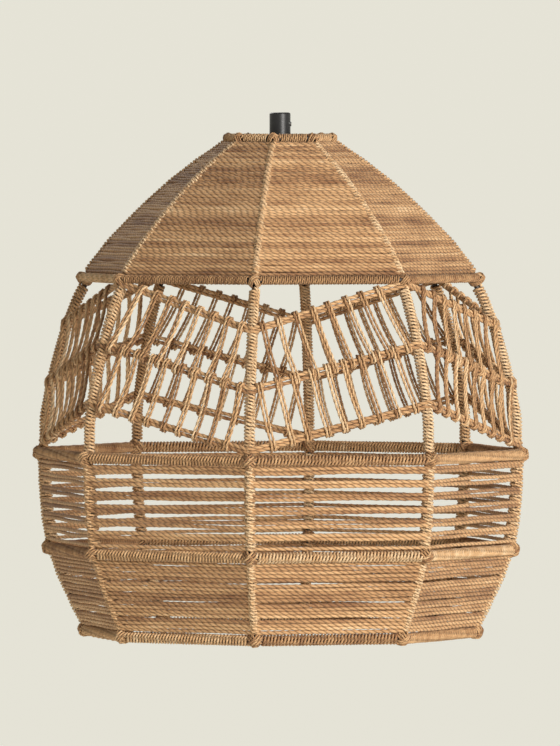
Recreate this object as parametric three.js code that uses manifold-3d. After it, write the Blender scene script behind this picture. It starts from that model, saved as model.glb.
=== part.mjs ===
// A woven pendant shade: an eight-sided wire cage covered in twisted paper cord, hung from a
// screw lampholder that clamps the cage's fitter ring with a threaded shade ring.
// Millimetres, +Z up. The origin is the mouth of the neck, where the flex goes in.

import * as THREE from 'three';
import { mergeVertices } from 'three/addons/utils/BufferGeometryUtils.js';
import Module from 'manifold-3d';

const wasm = await Module();
wasm.setup();

// ---- Driving dimensions ----

const SIDES = 8;                        // ribs, and flat facets between them
const WIRE = 3.5;                       // ribs and rings
const ARM_WIRE = 2.5;                   // arms that carry the fitter ring
const SKIN = 2.2;                       // thickness of the woven skin
const GAP = 0.3;                        // clearance between neighbouring pieces
const ROUND_SEGMENTS = 24;

// Centre line of one rib, as radius and height, from the top ring to the bottom ring.
const RIB_KNOTS = {
  top: [30, -19],
  crown: [72.5, -50.5],
  shoulder: [121, -104],
  waist: [144, -172],
  belt: [147, -211],
  lower: [141.5, -269],
  bottom: [119, -319.5],
};

const ZIGZAG_TOP = 4;                   // from the shoulder ring down to the top line's peaks
const ZIGZAG_DROP = 27;                 // from a peak, at one rib, to the valley at the next
const ZIGZAG_LINES = 3;
const ZIGZAG_SPACING = 36;              // from one line down to the next
const ZIGZAG_WIDTH = 4.8;               // two cords side by side
const RUNG_WIDTH = 4.8;                 // two cords side by side
const RUNG_PITCH = 12;

const NECK = { radius: 6.5, bore: 3.3, length: 14 };
const CAP = { radius: 20, wall: 2.4, bottom: -33 };
const HOLDER = { radius: 19.5, bore: 16.8, bottom: -68, flangeRadius: 23.5, flangeThickness: 3 };
const FITTER = { bore: 20.6, radius: 27, thickness: 2 };
const WASHER = { bore: 20.3, radius: 26, thickness: 1 };
const SHADE_RING = { bore: 20.2, radius: 28, height: 8 };
const SOCKET = { bore: 13.4, wall: 0.7, length: 19 };

// Heights of the clamped stack, from the holder's flange downwards.
const FLANGE_TOP = CAP.bottom - GAP - 0.1;
const FLANGE_BOTTOM = FLANGE_TOP - HOLDER.flangeThickness;
const FITTER_TOP = FLANGE_BOTTOM - GAP;
const WASHER_TOP = FITTER_TOP - FITTER.thickness - GAP;
const RING_TOP = WASHER_TOP - WASHER.thickness - GAP;

const SKIN_INSIDE = WIRE / 2 + 1;       // from a rib's centre line to the skin's inner face
const RING_OFFSET = WIRE + GAP;         // from a rib's centre line to a ring's centre line
const RING_MARGIN = WIRE / 2 + 0.5;     // half the band that a ring keeps free in the skin
const FACET_ANGLE = (2 * Math.PI) / SIDES;

const COLOURS = {
  cord: { color: 0xc08f58, roughness: 0.85, metalness: 0 },
  wire: { color: 0x2a2522, roughness: 0.55, metalness: 0.8 },
  plastic: { color: 0x141414, roughness: 0.4, metalness: 0 },
  steel: { color: 0x9a9a98, roughness: 0.35, metalness: 1 },
  brass: { color: 0xb99a56, roughness: 0.3, metalness: 1 },
  ceramic: { color: 0xe6e1d6, roughness: 0.5, metalness: 0 },
};

const materials = {};
for (const [name, look] of Object.entries(COLOURS)) {
  materials[name] = new THREE.MeshStandardMaterial({ name, ...look });
}

// ---- Rib outline ----

const knotNames = Object.keys(RIB_KNOTS);
const ribOutline = new THREE.SplineCurve(
  knotNames.map((name) => new THREE.Vector2(...RIB_KNOTS[name])),
);

// Place of a named knot along the outline, from 0 at the top to 1 at the bottom.
function along(name) {
  return knotNames.indexOf(name) / (knotNames.length - 1);
}

// Point at a distance outside the rib's centre line.
function outside(place, distance) {
  const point = ribOutline.getPoint(place);
  const tangent = ribOutline.getTangent(place);
  return new THREE.Vector2(point.x - tangent.y * distance, point.y + tangent.x * distance);
}

// Place on the outline that lies a given drop below a knot.
function placeBelow(name, drop) {
  const start = along(name);
  const target = RIB_KNOTS[name][1] - drop;
  const step = Math.sign(drop) * 0.0005;
  let place = start;
  while ((ribOutline.getPoint(place).y - target) * Math.sign(drop) > 0) place += step;
  return place;
}

// ---- Solids ----

const group = new THREE.Group();

function addPiece(name, geometry, material) {
  const mesh = new THREE.Mesh(geometry, material);
  mesh.name = name;
  group.add(mesh);
  return mesh;
}

function toSolid(geometry) {
  const bare = geometry.clone();
  bare.deleteAttribute('normal');
  bare.deleteAttribute('uv');
  const welded = mergeVertices(bare);
  return new wasm.Manifold(new wasm.Mesh({
    numProp: 3,
    vertProperties: new Float32Array(welded.attributes.position.array),
    triVerts: new Uint32Array(welded.index.array),
  }));
}

function toGeometry(solid) {
  const mesh = solid.getMesh();
  const geometry = new THREE.BufferGeometry();
  geometry.setAttribute('position', new THREE.BufferAttribute(mesh.vertProperties, 3));
  geometry.setIndex(new THREE.BufferAttribute(mesh.triVerts, 1));
  geometry.computeVertexNormals();
  return geometry;
}

// Turned piece about the Z axis. The outline runs anticlockwise, as [radius, height] pairs.
function turned(outline, segments = ROUND_SEGMENTS, start = 0) {
  const points = [...outline, outline[0]].map(([radius, height]) => new THREE.Vector2(radius, height));
  return new THREE.LatheGeometry(points, segments, start).rotateX(Math.PI / 2);
}

function flatRing(bore, radius, top, thickness) {
  const bottom = top - thickness;
  return turned([[bore, bottom], [radius, bottom], [radius, top], [bore, top]]);
}

// Wire along a path, with a round section.
function wire(path, diameter, steps) {
  const section = new THREE.Shape();
  section.absarc(0, 0, diameter / 2, 0, 2 * Math.PI);
  return new THREE.ExtrudeGeometry(section, { extrudePath: path, steps, curveSegments: 4 });
}

// ---- Wire cage ----

function addRibs() {
  const path = new THREE.CatmullRomCurve3(
    ribOutline.getPoints(18).map((point) => new THREE.Vector3(0, -point.x, point.y)),
  );
  for (let side = 0; side < SIDES; side += 1) {
    const rib = addPiece(`rib_${side + 1}`, wire(path, WIRE, 18), materials.wire);
    rib.rotation.z = side * FACET_ANGLE;
  }
}

// Ring bent from eight straight lengths. Its section has a flat side underneath.
function addRing(knot) {
  const centre = outside(along(knot), RING_OFFSET);
  const section = [];
  for (let corner = 0; corner < 8; corner += 1) {
    const angle = ((corner + 0.5) * Math.PI) / 4;
    section.push([centre.x + (WIRE / 2) * Math.cos(angle), centre.y + (WIRE / 2) * Math.sin(angle)]);
  }
  addPiece(`${knot}_ring`, turned(section, SIDES), materials.wire);
}

// Arm from the top ring down to the fitter ring, outside the lampholder's flange.
function addSpiderArms() {
  const top = outside(along('top'), RING_OFFSET);
  const ringInside = (top.x - WIRE / 2) * Math.cos(FACET_ANGLE / 2) - GAP;
  const armRadius = HOLDER.flangeRadius + ARM_WIRE / 2 + GAP + 0.1;
  const path = new THREE.CatmullRomCurve3([
    new THREE.Vector3(0, -ringInside, top.y),
    new THREE.Vector3(0, -armRadius - 0.6, top.y - 1.2),
    new THREE.Vector3(0, -armRadius, top.y - 4),
    new THREE.Vector3(0, -armRadius, FITTER_TOP + GAP),
  ]);
  for (let side = 0; side < SIDES; side += 2) {
    const arm = addPiece(`spider_arm_${side / 2 + 1}`, wire(path, ARM_WIRE, 8), materials.wire);
    arm.rotation.z = (side + 0.5) * FACET_ANGLE;
  }
}

// ---- Woven skin ----
// Each piece of skin is made in front, facing -Y, and turned to its place.

// Eight-sided shell that follows the ribs between two places on their outline.
function skinShell(from, to, steps) {
  const inner = [];
  const outer = [];
  for (let step = 0; step <= steps; step += 1) {
    const place = from + ((to - from) * step) / steps;
    inner.push(outside(place, SKIN_INSIDE).toArray());
    outer.push(outside(place, SKIN_INSIDE + SKIN).toArray());
  }
  const outline = [...inner, ...outer.reverse()];
  return toSolid(turned(outline, SIDES, -FACET_ANGLE / 2));
}

// Everything between the vertical planes of two neighbouring ribs, less the gap at each.
function facetWedge() {
  const reach = 200;
  const half = FACET_ANGLE / 2;
  const apex = (GAP / 2 + 0.05) / Math.sin(half);
  const width = (reach - apex) * Math.tan(half);
  const plan = new THREE.Shape([
    new THREE.Vector2(0, -apex),
    new THREE.Vector2(-width, -reach),
    new THREE.Vector2(width, -reach),
  ]);
  const wedge = new THREE.ExtrudeGeometry(plan, { depth: 400, bevelEnabled: false });
  return toSolid(wedge.translate(0, 0, -400));
}

function bandPlaces(upper, lower) {
  return [placeBelow(upper, RING_MARGIN), placeBelow(lower, -RING_MARGIN)];
}

function addPanels(name, upper, lower, steps, material) {
  const [from, to] = bandPlaces(upper, lower);
  const geometry = toGeometry(skinShell(from, to, steps).intersect(facetWedge()));
  for (let side = 0; side < SIDES; side += 1) {
    const panel = addPiece(`${name}_${side + 1}`, geometry, material);
    panel.rotation.z = (side + 0.5) * FACET_ANGLE;
  }
}

// Zigzag lines climbing to the right, with rungs square to them, as a flat grille facing -Y.
function grille() {
  const shoulder = RIB_KNOTS.shoulder;
  const halfSpan = RIB_KNOTS.waist[0] * Math.sin(FACET_ANGLE / 2);
  const climb = Math.atan2(ZIGZAG_DROP, 2 * halfSpan);
  const reach = halfSpan + 12;
  const middle = shoulder[1] - ZIGZAG_TOP - ZIGZAG_DROP / 2;
  const rowHeight = ZIGZAG_SPACING * Math.cos(climb);

  // A point by its distance along the lines and below the top line, square to it.
  const place = (run, below) => new THREE.Vector2(
    run * Math.cos(climb) + below * Math.sin(climb),
    middle + run * Math.sin(climb) - below * Math.cos(climb),
  );
  const outlineOf = (runFrom, runTo, belowFrom, belowTo) => [
    place(runFrom, belowTo),
    place(runTo, belowTo),
    place(runTo, belowFrom),
    place(runFrom, belowFrom),
  ];

  const halfLine = ZIGZAG_WIDTH / 2;
  const depth = rowHeight * (ZIGZAG_LINES - 1);
  const shape = new THREE.Shape(outlineOf(-reach, reach, -halfLine, depth + halfLine));
  const cells = Math.floor((2 * reach) / RUNG_PITCH) - 1;
  for (let row = 0; row < ZIGZAG_LINES - 1; row += 1) {
    for (let cell = 0; cell < cells; cell += 1) {
      const run = (cell - cells / 2) * RUNG_PITCH + RUNG_WIDTH / 2;
      const top = row * rowHeight + halfLine;
      const bottom = (row + 1) * rowHeight - halfLine;
      shape.holes.push(new THREE.Path(outlineOf(run, run + RUNG_PITCH - RUNG_WIDTH, top, bottom)));
    }
  }
  const plate = new THREE.ExtrudeGeometry(shape, { depth: 200, bevelEnabled: false });
  return toSolid(plate.rotateX(Math.PI / 2));
}

// The zigzag climbs to the right on one facet and to the left on the next.
function addOpenWeave() {
  const [from, to] = bandPlaces('shoulder', 'belt');
  const rising = skinShell(from, to, 4).intersect(facetWedge()).intersect(grille());
  const geometries = [toGeometry(rising), toGeometry(rising.mirror([1, 0, 0]))];
  for (let side = 0; side < SIDES; side += 1) {
    const panel = addPiece(`open_weave_${side + 1}`, geometries[side % 2], materials.cord);
    panel.rotation.z = (side + 0.5) * FACET_ANGLE;
  }
}

// ---- Lampholder ----

function addCap() {
  const inside = CAP.radius - CAP.wall;
  const shell = turned([
    [inside, CAP.bottom],
    [CAP.radius, CAP.bottom],
    [CAP.radius, -NECK.length - 8],
    [CAP.radius - 1.5, -NECK.length - 5],
    [CAP.radius - 7, -NECK.length - 2.5],
    [NECK.radius + 1, -NECK.length - 1],
    [NECK.radius, -NECK.length + 0.5],
    [NECK.radius, -0.8],
    [NECK.radius - 0.8, 0],
    [NECK.bore, 0],
    [NECK.bore, -NECK.length - 3],
    [CAP.radius - 8, -NECK.length - 5],
    [inside, -NECK.length - 8.5],
  ]);
  const screwRadius = 1.5;
  const screwHeight = -NECK.length / 2;
  const hole = new THREE.CylinderGeometry(screwRadius + GAP, screwRadius + GAP, NECK.radius, 12);
  hole.rotateZ(Math.PI / 2).translate(NECK.radius, 0, screwHeight);
  addPiece('lampholder_cap', toGeometry(toSolid(shell).subtract(toSolid(hole))), materials.plastic);

  const screwLength = NECK.radius - NECK.bore + 0.6;
  const screw = new THREE.CylinderGeometry(screwRadius, screwRadius, screwLength, 12);
  screw.rotateZ(Math.PI / 2).translate(NECK.bore + screwLength / 2, 0, screwHeight);
  addPiece('cord_grip_screw', screw, materials.plastic);
}

function addHolder() {
  const spigot = CAP.radius - CAP.wall - GAP;
  const step = FLANGE_BOTTOM + GAP;
  const throat = HOLDER.bore - 2.2;
  addPiece('lampholder_body', turned([
    [HOLDER.bore, HOLDER.bottom],
    [HOLDER.radius - 0.6, HOLDER.bottom],
    [HOLDER.radius, HOLDER.bottom + 0.8],
    [HOLDER.radius, FLANGE_BOTTOM],
    [HOLDER.flangeRadius, FLANGE_BOTTOM],
    [HOLDER.flangeRadius, FLANGE_TOP],
    [spigot, FLANGE_TOP],
    [spigot, FLANGE_TOP + 9],
    [throat, FLANGE_TOP + 9],
    [throat, step],
    [HOLDER.bore, step],
  ]), materials.plastic);
}

function addContacts() {
  const blockTop = FLANGE_BOTTOM;
  const blockBottom = blockTop - 10;
  const block = new THREE.CylinderGeometry(HOLDER.bore - 0.4, HOLDER.bore - 0.4, 10, ROUND_SEGMENTS);
  block.rotateX(Math.PI / 2).translate(0, 0, (blockTop + blockBottom) / 2);
  addPiece('contact_block', block, materials.ceramic);

  const socketTop = blockBottom - GAP;
  addPiece('screw_shell',
    flatRing(SOCKET.bore, SOCKET.bore + SOCKET.wall, socketTop, SOCKET.length), materials.brass);

  const screwHeight = 2.6;
  for (const [index, x] of [-8, 8].entries()) {
    const screw = new THREE.CylinderGeometry(2.4, 2.4, screwHeight, 12);
    screw.rotateX(Math.PI / 2).translate(x, 0, blockTop + GAP + screwHeight / 2);
    addPiece(`terminal_screw_${index + 1}`, screw, materials.steel);
  }

  // Sprung tongue, fixed at its left end and bent down to meet the lamp at the centre.
  const rootHeight = blockBottom - 1.9;
  const tongue = new THREE.Shape([
    new THREE.Vector2(-9, rootHeight - 0.6),
    new THREE.Vector2(-6, rootHeight - 0.6),
    new THREE.Vector2(-1, rootHeight - 2.4),
    new THREE.Vector2(3, rootHeight - 2.4),
    new THREE.Vector2(3, rootHeight - 1.8),
    new THREE.Vector2(-1, rootHeight - 1.8),
    new THREE.Vector2(-6, rootHeight),
    new THREE.Vector2(-9, rootHeight),
  ]);
  const contact = new THREE.ExtrudeGeometry(tongue, { depth: 6, bevelEnabled: false });
  contact.rotateX(Math.PI / 2).translate(0, 3, 0);
  addPiece('centre_contact', contact, materials.brass);
}

// ---- Clamped stack ----

function addClamp() {
  addPiece('fitter_ring',
    flatRing(FITTER.bore, FITTER.radius, FITTER_TOP, FITTER.thickness), materials.wire);
  addPiece('slip_washer',
    flatRing(WASHER.bore, WASHER.radius, WASHER_TOP, WASHER.thickness), materials.steel);
  const bottom = RING_TOP - SHADE_RING.height;
  const grip = SHADE_RING.radius - 4;
  addPiece('shade_ring', turned([
    [SHADE_RING.bore, bottom],
    [grip, bottom],
    [grip, RING_TOP - 3],
    [SHADE_RING.radius, RING_TOP - 2.2],
    [SHADE_RING.radius, RING_TOP],
    [SHADE_RING.bore, RING_TOP],
  ]), materials.plastic);
}

addRibs();
for (const knot of ['top', 'shoulder', 'belt', 'lower', 'bottom']) addRing(knot);
addSpiderArms();
addPanels('crown_weave', 'top', 'shoulder', 5, materials.cord);
addOpenWeave();
addPanels('belt_weave', 'belt', 'lower', 2, materials.cord);
addPanels('hem_weave', 'lower', 'bottom', 2, materials.cord);
addCap();
addHolder();
addContacts();
addClamp();

export default group;
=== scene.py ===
"""Looks of a woven pendant shade: paper cord on a wire cage, over a black screw lampholder.

Metres, in the CAD model's frame. Every place comes from the CAD nodes: the ribs and rings of the
cage give the weave its outline, and the lampholder's pieces give the turned parts their sections.
"""
import math
import random

import bmesh
import bpy
import numpy as np
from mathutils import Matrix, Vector


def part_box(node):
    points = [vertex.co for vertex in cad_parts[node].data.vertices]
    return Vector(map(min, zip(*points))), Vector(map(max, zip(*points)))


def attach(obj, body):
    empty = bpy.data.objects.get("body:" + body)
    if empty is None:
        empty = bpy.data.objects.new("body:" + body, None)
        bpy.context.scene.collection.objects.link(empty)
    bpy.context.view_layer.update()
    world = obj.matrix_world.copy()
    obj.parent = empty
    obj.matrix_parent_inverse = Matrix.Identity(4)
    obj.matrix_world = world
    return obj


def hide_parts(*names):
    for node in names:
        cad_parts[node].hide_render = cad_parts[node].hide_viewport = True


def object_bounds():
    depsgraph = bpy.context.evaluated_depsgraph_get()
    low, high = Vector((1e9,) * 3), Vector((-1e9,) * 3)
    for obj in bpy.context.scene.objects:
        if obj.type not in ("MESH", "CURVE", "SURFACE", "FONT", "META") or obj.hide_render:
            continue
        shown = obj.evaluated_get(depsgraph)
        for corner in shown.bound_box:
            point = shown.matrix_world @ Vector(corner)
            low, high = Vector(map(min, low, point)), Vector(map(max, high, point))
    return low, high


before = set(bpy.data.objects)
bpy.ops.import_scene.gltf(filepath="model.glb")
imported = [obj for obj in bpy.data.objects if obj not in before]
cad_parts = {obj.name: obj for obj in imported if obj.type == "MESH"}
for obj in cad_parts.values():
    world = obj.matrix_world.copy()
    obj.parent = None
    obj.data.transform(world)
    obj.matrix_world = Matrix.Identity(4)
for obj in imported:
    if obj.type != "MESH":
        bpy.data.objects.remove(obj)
cad_low, cad_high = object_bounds()
rng = random.Random(11)

MM = 0.001
SIDES = 8                                   # ribs round the cage
TURN = 2 * math.pi / SIDES                  # angle from one rib to the next
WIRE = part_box("rib_1")[1].x                 # radius of a rib's wire
ROW_CORD = 2.4 * MM                         # diameter of the cord in the level rows
LACE_CORD = 2.0 * MM                        # diameter of the cord in the rungs and the lashings
ROW_REACH = WIRE + ROW_CORD / 2             # from a rib's centre line to a row's
LACE_REACH = WIRE + LACE_CORD / 2
TWIST = 9 * MM                              # length in which a cord's two plies turn once
STEP = 1.8 * MM                             # between a cord's cross-sections
WRAP_STEP = 1.75 * MM                       # the same, where the cord winds round a wire
KNOT_STEP = 1.4 * MM                        # the same, in the lashings
WINDING_POINTS = 12                         # points to a turn, where a cord winds round a wire
MIDDLE_TONE = 0.40                          # of the paper's shades, from 0 dark to 1 pale
TONE_WANDER = 0.16                          # how far a cord's tone strays along its length

RINGS = ("top_ring", "shoulder_ring", "belt_ring", "lower_ring", "bottom_ring")
CROWN_RINGS = RINGS[:2]                     # wrapped and lashed in finer cord than the rest
SPIDER_ARMS = 4

# Open band: three zigzag lines, with peaks on every second rib, and rungs between them.
ZIGZAG_TOP = 4 * MM                         # from the shoulder ring down to the top line's peaks
ZIGZAG_DROP = 27 * MM                       # from a peak to the valleys beside it
ZIGZAG_SPACING = 36 * MM                    # from one line down to the next
ZIGZAG_LINES = 3
RUNG_PITCH = 11.5 * MM

# Lampholder: its section is taken at an angle that misses its screw holes and its faces' corners.
SECTION_ANGLE = math.radians(45.01)
TURNED_SIDES = 96
BODY_THREAD = (2.5 * MM, 0.7 * MM)          # pitch, and depth into the wall
SHELL_THREAD = (3.6 * MM, -0.6 * MM)        # the same, but rolled outward
RING_GRIPS = 24


# ---- Camera, floor and light ----

def direction(azimuth, elevation):
    """Unit vector by degrees: azimuth 0 in front of rib_1, positive toward +X."""
    azimuth, elevation = math.radians(azimuth), math.radians(elevation)
    return Vector((
        math.sin(azimuth) * math.cos(elevation),
        -math.cos(azimuth) * math.cos(elevation),
        math.sin(elevation),
    ))


def link(thing):
    bpy.context.scene.collection.objects.link(thing)
    return thing


def aim_from(thing, toward, distance):
    """Puts a camera or light at a distance from the middle of the shade, facing it."""
    thing.location = (cad_low + cad_high) / 2 + toward * distance
    thing.rotation_mode = "QUATERNION"
    thing.rotation_quaternion = (-toward).to_track_quat("-Z", "Y")


def add_camera():
    """A long lens, as far from the shade as one would stand to see the whole lamp."""
    distance = 6.1
    shown_height = 0.462
    data = bpy.data.cameras.new("camera")
    data.sensor_width = 36
    data.lens = data.sensor_width * distance / shown_height
    data.clip_end = 400
    camera = link(bpy.data.objects.new("camera", data))
    aim_from(camera, direction(7.2, 1.4), distance)
    bpy.context.scene.camera = camera


def add_soft_box(name, toward, distance, size, power, colour):
    data = bpy.data.lights.new(name, "AREA")
    data.size = size
    data.energy = power
    data.color = colour
    light = link(bpy.data.objects.new(name, data))
    aim_from(light, toward, distance)
    light.visible_camera = False


def swept_floor(height, flat_radius, radius, rise):
    """A round floor that sweeps up at its far edge, as a studio's backdrop does."""
    corners, rings = 64, 9
    points = []
    for ring in range(rings):
        share = ring / (rings - 1)
        reach = flat_radius + (radius - flat_radius) * share
        for corner in range(corners):
            angle = corner * 2 * math.pi / corners
            points.append((reach * math.cos(angle), reach * math.sin(angle), height + rise * share ** 2))
    faces = [tuple(range(corners))]
    for start in range(0, (rings - 1) * corners, corners):
        for corner in range(corners):
            after = (corner + 1) % corners
            faces.append((start + corner, start + corners + corner, start + corners + after, start + after))
    mesh = bpy.data.meshes.new("floor")
    mesh.from_pydata(points, [], faces)
    mesh.shade_smooth()
    return mesh


def add_studio():
    """A faintly glowing pale floor, a dim room, and soft light from the front right and behind."""
    scene = bpy.context.scene
    scene.view_settings.view_transform = "Standard"
    world = bpy.data.worlds.new("studio")
    world.use_nodes = True
    background = world.node_tree.nodes["Background"]
    background.inputs["Color"].default_value = (1.0, 0.99, 0.95, 1)
    background.inputs["Strength"].default_value = 0.2
    scene.world = world

    material, tree, shader = new_material(
        "floor", Base_Color=(0.4, 0.39, 0.36, 1), Roughness=1, Specular_IOR_Level=0,
        Emission_Color=(1.0, 0.978, 0.86, 1), Emission_Strength=0.7)
    floor = link(bpy.data.objects.new("floor", swept_floor(cad_low.z - 1.6, 60, 120, 14)))
    floor.data.materials.append(material)

    add_soft_box("key", direction(41, 13), 2.6, 1.1, 76, (1, 0.97, 0.93))
    add_soft_box("back", direction(205, 30), 3.0, 1.6, 30, (1, 0.98, 0.95))


# ---- Materials ----

def new_material(name, **values):
    """A node material, with the shader values that are the same all over it."""
    material = bpy.data.materials.new(name)
    material.use_nodes = True
    shader = material.node_tree.nodes["Principled BSDF"]
    for socket, value in values.items():
        shader.inputs[socket.replace("_", " ")].default_value = value
    return material, material.node_tree, shader


def add_node(tree, kind, inputs, output=0, **settings):
    """A node with its inputs set to values or linked to sockets; gives back one of its outputs."""
    node = tree.nodes.new(kind)
    for name, value in settings.items():
        setattr(node, name, value)
    for name, value in inputs.items():
        if isinstance(value, bpy.types.NodeSocket):
            tree.links.new(value, node.inputs[name])
        else:
            node.inputs[name].default_value = value
    return node.outputs[output]


def add_math(tree, operation, *values):
    return add_node(tree, "ShaderNodeMath", dict(enumerate(values)), operation=operation)


def add_ramp(tree, level, *stops):
    """Colours by level, from stops that are each a place and a colour."""
    colour = add_node(tree, "ShaderNodeValToRGB", {"Fac": level})
    elements = colour.node.color_ramp.elements
    while len(elements) < len(stops):
        elements.new(0.5)
    for element, (place, shade) in zip(elements, stops):
        element.position = place
        element.color = (*shade, 1)
    return colour


def add_range(tree, value, low, high, to_low, to_high):
    return add_node(tree, "ShaderNodeMapRange", {
        "Value": value, "From Min": low, "From Max": high, "To Min": to_low, "To Max": to_high})


def finish_material(tree, shader, colour, roughness, height, depth, strength):
    """Links colour and roughness, and a bump whose full height is the depth given."""
    normal = add_node(tree, "ShaderNodeBump", {
        "Height": height, "Strength": strength, "Distance": depth})
    tree.links.new(colour, shader.inputs["Base Color"])
    tree.links.new(roughness, shader.inputs["Roughness"])
    tree.links.new(normal, shader.inputs["Normal"])


def paper_cord_material():
    """Twisted paper: each cord's own tone, streaks and fibres along it, and painted shade darkening the
    grooves between plies.
    """
    material, tree, shader = new_material(
        "paper_cord", Specular_IOR_Level=0.25, Sheen_Weight=0.08, Sheen_Roughness=0.6)
    along = add_node(tree, "ShaderNodeUVMap", {}, uv_map="cord")
    tone = add_node(tree, "ShaderNodeAttribute", {}, output="Fac", attribute_name="tone")
    place = add_node(tree, "ShaderNodeTexCoord", {}, output="Object")

    own_place = add_node(tree, "ShaderNodeCombineXYZ", {"Z": tone})
    moved = add_node(tree, "ShaderNodeVectorMath", {0: along, 1: own_place})
    drawn_out = add_node(tree, "ShaderNodeMapping", {"Vector": moved, "Scale": (140, 9, 37)})
    fibres = add_node(tree, "ShaderNodeTexNoise", {
        "Vector": drawn_out, "Scale": 1, "Detail": 4, "Roughness": 0.6})
    stretches = add_node(tree, "ShaderNodeMapping", {"Vector": moved, "Scale": (34, 0, 60)})
    streaks = add_node(tree, "ShaderNodeTexNoise", {"Vector": stretches, "Scale": 1, "Detail": 2})
    blotches = add_node(tree, "ShaderNodeTexNoise", {"Vector": place, "Scale": 38, "Detail": 2})

    level = tone
    for noise, share in ((fibres, 0.45), (streaks, 0.7), (blotches, 0.35)):
        part = add_math(tree, "MULTIPLY_ADD", noise, share, -share / 2)
        level = add_math(tree, "ADD", level, part)
    shade = add_ramp(
        tree, level,
        (0.0, (0.27, 0.128, 0.056)),
        (0.35, (0.48, 0.268, 0.124)),
        (0.7, (0.65, 0.398, 0.198)),
        (1.0, (0.80, 0.570, 0.340)),
    )

    around = add_node(tree, "ShaderNodeSeparateXYZ", {"Vector": along}, output="Y")
    wave = add_math(tree, "COSINE", add_math(tree, "MULTIPLY", around, 4 * math.pi))
    # Painted shade: the colour is darkened to 0.45 of itself in the grooves between the plies; the same
    # wave also gives the bump its height.
    ply_relief_and_groove_shade = add_range(tree, wave, -1.0, -0.2, 0.45, 1.0)
    colour = add_node(tree, "ShaderNodeVectorMath", {0: shade, 1: ply_relief_and_groove_shade}, operation="MULTIPLY")
    rough = add_range(tree, fibres, 0, 1, 0.62, 0.9)
    relief = add_math(tree, "ADD", ply_relief_and_groove_shade, fibres)
    finish_material(tree, shader, colour, rough, relief, 0.35 * MM, 0.5)
    return material


def speckled_material(name, dark, light, roughness, scale, depth, **values):
    """A surface of two close shades, mixed by noise of so many grains a metre."""
    material, tree, shader = new_material(name, **values)
    place = add_node(tree, "ShaderNodeTexCoord", {}, output="Object")
    grains = add_node(tree, "ShaderNodeTexNoise", {"Vector": place, "Scale": scale, "Detail": 3})
    colour = add_ramp(tree, grains, (0.3, dark), (0.75, light))
    rough = add_range(tree, grains, 0.25, 0.75, *roughness)
    finish_material(tree, shader, colour, rough, grains, depth, 0.3)
    return material


# ---- Outline of the cage ----

def resample(path, step):
    """Points at equal distances along a path."""
    gaps = np.linalg.norm(np.diff(path, axis=0), axis=1)
    lengths = np.concatenate([[0], np.cumsum(gaps)])
    wanted = np.linspace(0, lengths[-1], max(3, int(round(lengths[-1] / step)) + 1))
    return np.column_stack([np.interp(wanted, lengths, path[:, i]) for i in range(path.shape[1])])


def section_edges(node, normal):
    """Cuts a CAD node with a plane through the axis: a bmesh of the cut's edges alone."""
    cut = bmesh.new()
    cut.from_mesh(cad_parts[node].data)
    cut.transform(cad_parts[node].matrix_world)
    bmesh.ops.remove_doubles(cut, verts=cut.verts, dist=0.001 * MM)
    everything = cut.verts[:] + cut.edges[:] + cut.faces[:]
    bmesh.ops.bisect_plane(
        cut, geom=everything, plane_co=(0, 0, 0), plane_no=normal, clear_inner=True, clear_outer=True)
    bmesh.ops.remove_doubles(cut, verts=cut.verts, dist=0.001 * MM)
    return cut


def rib_outline():
    """Radius and height along a rib's centre line, from its top to its bottom.

    The cut leans a little, so that it misses the corners of the wire's own section. The wire's
    ends are left out, and straight ends are put on instead."""
    cut = section_edges("rib_1", (1, 0.0001, 0))
    edge_places = np.array([[(-v.co.y, v.co.z) for v in edge.verts] for edge in cut.edges])
    cut.free()
    low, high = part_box("rib_1")
    heights = np.linspace(high.z - 4 * MM, low.z + 3 * MM, 160)
    middles = []
    for height in heights:
        above = edge_places[:, :, 1] > height
        start, stop = edge_places[above[:, 0] != above[:, 1]].transpose(1, 0, 2)
        share = (height - start[:, 1]) / (stop[:, 1] - start[:, 1])
        radii = start[:, 0] + share * (stop[:, 0] - start[:, 0])
        middles.append((radii.min() + radii.max()) / 2)
    line = np.column_stack([middles, heights])
    before = line[0] * 2 - line[8]
    after = line[-1] * 2 - line[-8]
    line = resample(np.vstack([before, line, after]), 2 * MM)
    line[1:-1] = (line[:-2] + line[1:-1] * 2 + line[2:]) / 4    # softens its bends
    return resample(line, 0.5 * MM)


OUTLINE = rib_outline()
OUTLINE_RUNS = np.arange(len(OUTLINE)) * np.linalg.norm(OUTLINE[1] - OUTLINE[0])
OUTLINE_WAYS = np.gradient(OUTLINE, axis=0)
OUTLINE_WAYS /= np.linalg.norm(OUTLINE_WAYS, axis=1, keepdims=True)


def on_rib(run):
    """At a distance along a rib: radius and height of its centre line, and of its outward normal."""
    radius, height = (np.interp(run, OUTLINE_RUNS, OUTLINE[:, i]) for i in (0, 1))
    way_out, way_up = (np.interp(run, OUTLINE_RUNS, OUTLINE_WAYS[:, i]) for i in (0, 1))
    return radius, height, -way_up, way_out


def run_at_height(height):
    return float(np.interp(-height, -OUTLINE[:, 1], OUTLINE_RUNS))


def ring_centre(name):
    """Radius at the ribs and height of a ring's centre line."""
    low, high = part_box(name)
    return high.x - (high.z - low.z) / 2, (low.z + high.z) / 2


def ring_run(name):
    """Distance along a rib at which a ring crosses it."""
    gaps = np.linalg.norm(OUTLINE - np.array(ring_centre(name)), axis=1)
    return float(OUTLINE_RUNS[gaps.argmin()])


RING_RUNS = {name: ring_run(name) for name in RINGS}
UP = np.array([0.0, 0.0, 1.0])


def outward(angle):
    """Level unit vectors from the axis, by angle from rib_1 toward rib_2."""
    return np.stack([np.sin(angle), -np.cos(angle), np.zeros_like(angle)], -1)


def sideways(angle):
    return np.stack([np.cos(angle), np.sin(angle), np.zeros_like(angle)], -1)


# ---- Cords ----

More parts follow.
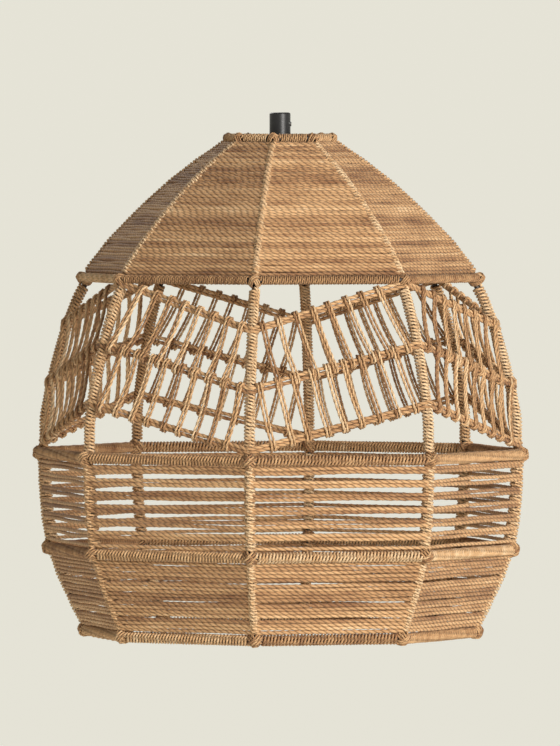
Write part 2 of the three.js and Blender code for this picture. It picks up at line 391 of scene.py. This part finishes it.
def frames_along(points):
    """Two crosswise unit vectors at each point of a path, which turn no more than the path does."""
    ways = np.gradient(points, axis=0)
    ways /= np.linalg.norm(ways, axis=1, keepdims=True)
    vectors = [Vector(way) for way in ways]
    normals = [vectors[0].orthogonal().normalized()]
    for before, after in zip(vectors, vectors[1:]):
        normals.append(before.rotation_difference(after) @ normals[-1])
    normals = np.array(normals)
    normals -= ways * (normals * ways).sum(1, keepdims=True)
    normals /= np.linalg.norm(normals, axis=1, keepdims=True)
    return normals, np.cross(ways, normals)


class Cords:
    """Two-ply cords, gathered into one mesh with a map along each cord and a tone for each."""

    def __init__(self, sides):
        self.angles = np.arange(sides) * 2 * math.pi / sides
        self.points = []
        self.corners = []
        self.sizes = []
        self.maps = []
        self.tones = []
        self.count = 0

    def add(self, path, diameter, tone, step=STEP):
        """One cord along a path of points, with its ends closed."""
        points = resample(np.asarray(path, float), step)
        first, second = (side[:, None, :] for side in frames_along(points))
        run = np.arange(len(points)) * np.linalg.norm(points[1] - points[0])
        turn = (self.angles[None, :] + (run / TWIST * 2 * math.pi + rng.uniform(0, 7))[:, None])[..., None]
        two_plies = 1 + 0.13 * np.cos(2 * self.angles)
        reach = (diameter / 2 * two_plies)[None, :, None]
        skin = points[:, None, :] + (first * np.cos(turn) + second * np.sin(turn)) * reach

        n, m = len(self.angles), len(points)
        i, j = np.meshgrid(np.arange(m - 1), np.arange(n), indexing="ij")
        after = (j + 1) % n
        faces = np.stack([i * n + j, i * n + after, (i + 1) * n + after, (i + 1) * n + j], -1)
        near_end, far_end = np.arange(n)[::-1], (m - 1) * n + np.arange(n)
        along = np.stack([run[i], run[i], run[i + 1], run[i + 1]], -1)
        around = np.stack([j, j + 1, j + 1, j], -1) / n
        side_map = np.stack([along, around], -1).reshape(-1, 2)
        end_map = np.column_stack([np.repeat([0, run[-1]], n), np.full(2 * n, 0.5)])

        self.points.append(skin.reshape(-1, 3))
        self.corners.append(np.concatenate([faces.ravel(), near_end, far_end]) + self.count)
        self.sizes.append(np.append(np.full((m - 1) * n, 4), [n, n]))
        self.maps.append(np.vstack([side_map, end_map]))
        self.tones.append(np.repeat(tone + wander(m, TONE_WANDER), n))
        self.count += m * n

    def make(self, name, material, *replaced):
        """Makes the mesh, which rides on the shade; the CAD nodes named are hidden, since it takes their
        place.
        """
        sizes = np.concatenate(self.sizes)
        mesh = bpy.data.meshes.new(name)
        mesh.vertices.add(self.count)
        mesh.vertices.foreach_set("co", np.concatenate(self.points).ravel())
        mesh.loops.add(int(sizes.sum()))
        mesh.loops.foreach_set("vertex_index", np.concatenate(self.corners))
        mesh.polygons.add(len(sizes))
        mesh.polygons.foreach_set("loop_start", np.append(0, np.cumsum(sizes)[:-1]))
        mesh.update(calc_edges=True)
        mesh.uv_layers.new(name="cord").data.foreach_set("uv", np.concatenate(self.maps).ravel())
        tones = mesh.attributes.new("tone", "FLOAT", "POINT")
        tones.data.foreach_set("value", np.concatenate(self.tones))
        mesh.shade_smooth()
        mesh.materials.append(material)
        piece = link(bpy.data.objects.new(name, mesh))
        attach(piece, "shade")
        if replaced:
            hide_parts(*replaced)


def wander(count, size):
    """A smooth, small, random departure for each of a path's points."""
    share = np.linspace(0, 2 * math.pi, count)
    waves = [np.sin(share * turns + rng.uniform(0, 7)) * rng.uniform(0.3, 1) for turns in (3, 7, 12)]
    return sum(waves) * size / 2


def loop_over_ribs(runs, reach):
    """Once round the cage, straight from rib to rib and bent over each.

    The runs are the distances along the ribs, by number from rib_1. The ends meet behind rib_5."""
    points = []
    for rib in range(-SIDES // 2, SIDES // 2 + 1):
        angle = rib * TURN
        radius, height, out, rise = on_rib(runs[rib % SIDES])
        bends = np.linspace(angle - TURN / 2, angle + TURN / 2, 5)
        if rib == -SIDES // 2:
            bends = bends[2:]
        if rib == SIDES // 2:
            bends = bends[:3]
        centre = outward(angle) * radius + UP * (height + reach * rise)
        points += [centre + outward(bend) * reach * out for bend in bends]
    return resample(np.array(points), STEP)


# ---- Level rows ----

def row_runs(upper, lower, spacing, group, gap):
    """Distances along a rib of the rows between two rings: groups of rows, with a gap after each."""
    margin = WIRE + ROW_CORD * 1.3
    start, end = RING_RUNS[upper] + margin, RING_RUNS[lower] - margin
    runs = [0.0]
    left = rng.choice(group)
    while runs[-1] < end - start:
        left -= 1
        runs.append(runs[-1] + spacing + (gap if left == 0 else 0))
        if left == 0:
            left = rng.choice(group)
    runs = np.array(runs)
    return start + runs * (end - start) / runs[-1]


def drifting_tones(count):
    """A tone for each row, which keeps some of the tone before it, all about the middle tone."""
    tones = [0.0]
    while len(tones) < count:
        tones.append(tones[-1] * 0.3 + rng.uniform(-0.24, 0.24))
    return np.array(tones) - np.mean(tones) + MIDDLE_TONE


def make_rows(name, upper, lower, spacing, group, gap, material):
    """Rows of cord, each once round the cage."""
    cords = Cords(6)
    runs = row_runs(upper, lower, spacing, group, gap)
    for run, tone in zip(runs, drifting_tones(len(runs))):
        path = loop_over_ribs([run + rng.uniform(-0.2, 0.2) * MM for _ in range(SIDES)], ROW_REACH)
        path[:, 2] += wander(len(path), 0.45 * MM)
        cords.add(path, ROW_CORD * rng.uniform(0.92, 1.08), tone)
    cords.make(f"{name}_cords", material, *[f"{name}_weave_{side + 1}" for side in range(SIDES)])


# ---- Open band ----

def line_runs(line):
    """Distances along the ribs of a zigzag line: valley on rib_1, peak on rib_2 and so on."""
    peak = ring_centre("shoulder_ring")[1] - ZIGZAG_TOP - line * ZIGZAG_SPACING
    return [run_at_height(peak), run_at_height(peak - ZIGZAG_DROP)]


def add_zigzag_line(cords, line):
    """Two cords, one above the other."""
    peak, valley = line_runs(line)
    for shift in (-ROW_CORD * 0.52, ROW_CORD * 0.52):
        path = loop_over_ribs([valley + shift, peak + shift] * (SIDES // 2), ROW_REACH)
        path[:, 2] += wander(len(path), 0.3 * MM)
        cords.add(path, ROW_CORD, rng.uniform(0.1, 0.6))


def rounded(points):
    """Cuts a path's corners round in three passes, and keeps its ends."""
    points = np.array(points)
    for _ in range(3):
        early = points[:-1] * 0.75 + points[1:] * 0.25
        late = points[:-1] * 0.25 + points[1:] * 0.75
        between = np.stack([early, late], 1).reshape(-1, 3)
        points = np.vstack([points[:1], between, points[-1:]])
    return points


def add_rung(cords, top, bottom, face, beside):
    """Two cords, turned over the line at the top and under the line at the bottom.

    The hook goes from behind a line, round its outer side, to its front. Its points are places
    below and in front of the line's centre, as shares of the line's half size."""
    way = bottom - top
    length = np.linalg.norm(way)
    way = way / length
    half = ROW_CORD + LACE_CORD / 2
    deep = (ROW_CORD + LACE_CORD) / 2
    hook = [(-0.1, -1), (-0.85, -0.8), (-1.05, 0), (-0.75, 0.85), (0.1, 1), (1.5, 0.45)]
    far_hook = [(length - below * half, front * deep) for below, front in reversed(hook)]
    near_hook = [(below * half, front * deep) for below, front in hook]
    middle = [(length / 2, rng.uniform(-0.2, 0.2) * deep)]
    bow = beside * rng.uniform(-0.6, 0.6) * MM
    for side in (-1, 1):
        aside = beside * side * LACE_CORD * rng.uniform(0.48, 0.56)
        places = near_hook + middle + far_hook
        points = [top + way * below + face * front + aside for below, front in places]
        points[len(hook)] = points[len(hook)] + bow
        cords.add(rounded(points), LACE_CORD * rng.uniform(0.82, 0.96), rng.uniform(0.15, 0.95))


def facet_ends(side, line):
    """Where a zigzag line leaves one rib and reaches the next, in the plane of the facet."""
    middle = (side + 0.5) * TURN
    ends = []
    for rib in (side, side + 1):
        peak, valley = line_runs(line)
        radius, height, out, rise = on_rib(peak if rib % 2 else valley)
        centre = outward(rib * TURN) * radius + UP * (height + ROW_REACH * rise)
        ends.append(centre + outward(middle) * ROW_REACH * out)
    return ends


def add_facet_rungs(cords, side, line):
    """Rungs square to the lines, from one line down to the next."""
    left, right = facet_ends(side, line)
    low_left, low_right = facet_ends(side, line + 1)
    length = np.linalg.norm(right - left)
    beside = (right - left) / length
    below = (low_left + low_right - left - right) / 2
    face = np.cross(below, beside)
    face = face / np.linalg.norm(face)
    slip = -(below @ beside)
    count = int(round(length / RUNG_PITCH))
    for rung in range(count):
        place = (rung + 0.5) * length / count + rng.uniform(-0.6, 0.6) * MM
        foot = place + slip
        if 3 * MM < foot < length - 3 * MM:
            top = left + beside * place
            bottom = low_left + (low_right - low_left) * (foot / length)
            add_rung(cords, top, bottom, face, beside)


def make_open_band(material):
    cords = Cords(8)
    for line in range(ZIGZAG_LINES):
        add_zigzag_line(cords, line)
    for line in range(ZIGZAG_LINES - 1):
        for side in range(SIDES):
            add_facet_rungs(cords, side, line)
    cords.make("open_cords", material, *[f"open_weave_{side + 1}" for side in range(SIDES)])


# ---- Wrapping of the wires ----

def winding_along(length, cord):
    """A helix of touching turns: its angle, and the share of the length, at each of its points."""
    turns = length / (cord * 1.06)
    share = np.linspace(0, 1, int(turns * WINDING_POINTS))
    return share * turns * 2 * math.pi, share


def make_rib_wrapping(material):
    """Cord wound closely on each rib between the rings, and proud of it where it goes over rows."""
    clear = 4.5 * MM
    cords = Cords(6)
    for rib in range(SIDES):
        out_way = outward(rib * TURN)
        for upper, lower in zip(RINGS, RINGS[1:]):
            start, end = RING_RUNS[upper] + clear, RING_RUNS[lower] - clear
            winding, share = winding_along(end - start, LACE_CORD)
            radius, height, out, rise = (value[:, None] for value in on_rib(start + (end - start) * share))
            proud = 0.1 * MM if upper == "shoulder_ring" else 1.5 * MM
            cosine, sine = np.cos(winding)[:, None], np.sin(winding)[:, None]
            reach = LACE_REACH + proud * np.clip(cosine, 0, 1)
            points = out_way * radius + UP * height + (out_way * out + UP * rise) * reach * cosine
            points = points + sideways(rib * TURN) * LACE_REACH * sine
            cords.add(points, LACE_CORD, rng.uniform(0.6, 1.0), step=WRAP_STEP)
    cords.make("rib_wrapping", material)


def make_ring_wrapping(material):
    """Cord wound closely on each ring, from rib to rib."""
    clear = 3.6 * MM
    cords = Cords(6)
    for ring in RINGS:
        radius, height = ring_centre(ring)
        cord = LACE_CORD * (0.65 if ring in CROWN_RINGS else 1)
        reach = WIRE + cord / 2
        for side in range(SIDES):
            left, right = (outward(rib * TURN) * radius + UP * height for rib in (side, side + 1))
            way = (right - left) / np.linalg.norm(right - left)
            start, end = left + way * clear, right - way * clear
            winding, share = winding_along(np.linalg.norm(end - start), cord)
            points = start + (end - start) * share[:, None]
            points = points + outward((side + 0.5) * TURN) * reach * np.cos(winding)[:, None]
            points = points + UP * reach * np.sin(winding)[:, None]
            cords.add(points, cord, rng.uniform(0.2, 0.85), step=WRAP_STEP)
    cords.make("ring_wrapping", material)


def make_knots(material):
    """Crossed lashings that hold each ring to each rib."""
    winding = np.linspace(0.1, 2 * math.pi - 0.1, 18)[:, None]
    cords = Cords(6)
    for ring in RINGS:
        cord = LACE_CORD * (0.6 if ring in CROWN_RINGS else 0.85)
        wide = WIRE + cord * 1.5
        ring_radius, ring_height = ring_centre(ring)
        radius, height, out, rise = on_rib(RING_RUNS[ring])
        for rib in range(SIDES):
            out_way, across = outward(rib * TURN), sideways(rib * TURN)
            normal = out_way * out + UP * rise
            on_wire = out_way * radius + UP * height
            on_ring = out_way * ring_radius + UP * ring_height
            deep = np.linalg.norm(on_ring - on_wire) / 2 + WIRE + cord / 2
            for lean in (-1, 1):
                diagonal = (across + np.cross(normal, across) * lean) / math.sqrt(2)
                lift = cord * 0.5 * (lean > 0)
                for lane in (-1, 0, 1):
                    points = (on_wire + on_ring) / 2 + diagonal * wide * np.cos(winding)
                    points = points + normal * (deep + lift) * np.sin(winding)
                    points = points + np.cross(diagonal, normal) * lane * cord
                    cords.add(points, cord, rng.uniform(0.1, 0.75), step=KNOT_STEP)
    cords.make("knots", material)


# ---- Turned parts of the lampholder ----

def half_section(node):
    """A turned CAD node's section on one side of the axis, as a closed path of radius and height."""
    way = outward(SECTION_ANGLE)
    cut = section_edges(node, Vector(way).cross(Vector(UP)))
    start = max(cut.verts, key=lambda v: v.co.dot(Vector(way)))
    path = [start]
    edge = start.link_edges[0]
    while True:
        vert = edge.other_vert(path[-1])
        if vert == start:
            break
        path.append(vert)
        edge = next(other for other in vert.link_edges if other != edge)
    section = np.array([(v.co.dot(Vector(way)), v.co.z) for v in path])
    cut.free()
    return section


def eased(section, size):
    """Breaks a section's edges, and adds points along its long sides."""
    spacing = 0.45 * MM
    points = []
    for before, corner, after in zip(np.roll(section, 1, 0), section, np.roll(section, -1, 0)):
        back, ahead = before - corner, after - corner
        to_back, to_ahead = np.linalg.norm(back), np.linalg.norm(ahead)
        points.append(corner + back * min(size / to_back, 0.3))
        points.append(corner + ahead * min(size / to_ahead, 0.3))
        parts = int(to_ahead / spacing)
        for part in range(2, parts - 1):
            points.append(corner + ahead * part / parts)
    return np.array(points)


def make_turned(node, material, body, shape=None, edge=0.3 * MM):
    """Turns a CAD node's section smoothly, and shapes it by a function of radius, height and angle."""
    section = eased(half_section(node), edge)
    angles = np.arange(TURNED_SIDES) * 2 * math.pi / TURNED_SIDES
    around, radii = np.meshgrid(angles, section[:, 0], indexing="ij")
    heights = np.broadcast_to(section[:, 1], radii.shape)
    if shape:
        radii = shape(radii, heights, around)
    points = outward(around) * radii[..., None] + UP * heights[..., None]
    n, m = len(angles), len(section)
    i, j = np.meshgrid(np.arange(n), np.arange(m), indexing="ij")
    here, beyond = i * m, (i + 1) % n * m
    after = (j + 1) % m
    corners = np.stack([here + j, here + after, beyond + after, beyond + j], -1)
    mesh = bpy.data.meshes.new(node)
    mesh.from_pydata(points.reshape(-1, 3).tolist(), [], corners.reshape(-1, 4).tolist())
    tidy = bmesh.new()
    tidy.from_mesh(mesh)
    bmesh.ops.recalc_face_normals(tidy, faces=tidy.faces)
    tidy.to_mesh(mesh)
    tidy.free()
    mesh.shade_smooth()
    mesh.set_sharp_from_angle(angle=math.radians(38))
    mesh.materials.append(material)
    piece = link(bpy.data.objects.new(f"{node}_turned", mesh))
    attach(piece, body)
    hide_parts(node)


def thread(pitch, depth):
    """A shape that sinks a wall in a helix, as deep as given. A depth below 0 raises the wall."""
    def shape(radii, heights, around):
        return radii - depth * (0.5 + 0.5 * np.cos(2 * math.pi * heights / pitch - around))
    return shape


def make_lampholder(plastic, brass):
    """Cap, threaded body, ring with a gripped rim, and rolled screw shell."""
    body_low, body_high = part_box("lampholder_body")
    ring_low, ring_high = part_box("shade_ring")
    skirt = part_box("screw_shell")[0].z
    flange = body_high.x - 2 * MM
    body_radii = half_section("lampholder_body")[:, 0]
    outer_wall = body_radii[body_radii < flange].max()

    def body_shape(radii, heights, around):
        on_thread = (np.abs(radii - outer_wall) < 0.3 * MM) & (heights < ring_high.z - 0.5 * MM)
        on_thread &= heights > body_low.z + 1 * MM
        return np.where(on_thread, thread(*BODY_THREAD)(radii, heights, around), radii)

    def ring_shape(radii, heights, around):
        grip = (np.abs(radii - ring_high.x) < 0.4 * MM) & (heights > ring_low.z + 0.8 * MM)
        grip &= heights < ring_high.z - 0.8 * MM
        dent = 0.6 * MM * (0.5 + 0.5 * np.cos(RING_GRIPS * around)) ** 2
        return np.where(grip, radii - dent, radii)

    def shell_shape(radii, heights, around):
        rolled = heights > skirt + 1 * MM
        return np.where(rolled, thread(*SHELL_THREAD)(radii, heights, around), radii)

    make_turned("lampholder_cap", plastic, "holder", edge=0.6 * MM)
    make_turned("lampholder_body", plastic, "holder", body_shape)
    make_turned("shade_ring", plastic, "ring", ring_shape)
    make_turned("screw_shell", brass, "holder", shell_shape, edge=0.1 * MM)


def dress_cad_nodes(materials):
    """Gives the CAD nodes that stay in sight their materials."""
    for name, material in materials.items():
        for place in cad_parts[name].material_slots:
            place.material = material


# ---- Making ----

add_camera()
add_studio()
paper = paper_cord_material()
painted_wire = speckled_material(
    "painted_wire", (0.020, 0.016, 0.013), (0.055, 0.043, 0.034), (0.35, 0.62), 900, 0.1 * MM, Metallic=0.6)
plastic = speckled_material(
    "black_plastic", (0.008, 0.008, 0.009), (0.020, 0.020, 0.021), (0.32, 0.48), 1400, 0.03 * MM)
ceramic = speckled_material(
    "glazed_ceramic", (0.74, 0.72, 0.67), (0.86, 0.84, 0.80), (0.12, 0.28), 260, 0.05 * MM, Coat_Weight=0.3)
brass = speckled_material(
    "brass", (0.55, 0.36, 0.12), (0.80, 0.58, 0.24), (0.22, 0.42), 500, 0.03 * MM, Metallic=1.0)
steel = speckled_material(
    "plated_steel", (0.48, 0.48, 0.47), (0.68, 0.68, 0.67), (0.25, 0.45), 700, 0.03 * MM, Metallic=1.0)

make_rows("crown", "top_ring", "shoulder_ring", 2.15 * MM, (3, 4, 6), 0.35 * MM, paper)
make_rows("belt", "belt_ring", "lower_ring", 2.7 * MM, (2,), 3.7 * MM, paper)
make_rows("hem", "lower_ring", "bottom_ring", 2.6 * MM, (4, 5), 1.2 * MM, paper)
make_open_band(paper)
make_rib_wrapping(paper)
make_ring_wrapping(paper)
make_knots(paper)
make_lampholder(plastic, brass)

dress_cad_nodes({f"rib_{rib + 1}": painted_wire for rib in range(SIDES)})
dress_cad_nodes({name: painted_wire for name in RINGS})
dress_cad_nodes({f"spider_arm_{arm + 1}": painted_wire for arm in range(SPIDER_ARMS)})
dress_cad_nodes({
    "fitter_ring": painted_wire,
    "contact_block": ceramic,
    "centre_contact": brass,
    "slip_washer": steel,
    "cord_grip_screw": steel,
    "terminal_screw_1": steel,
    "terminal_screw_2": steel,
})
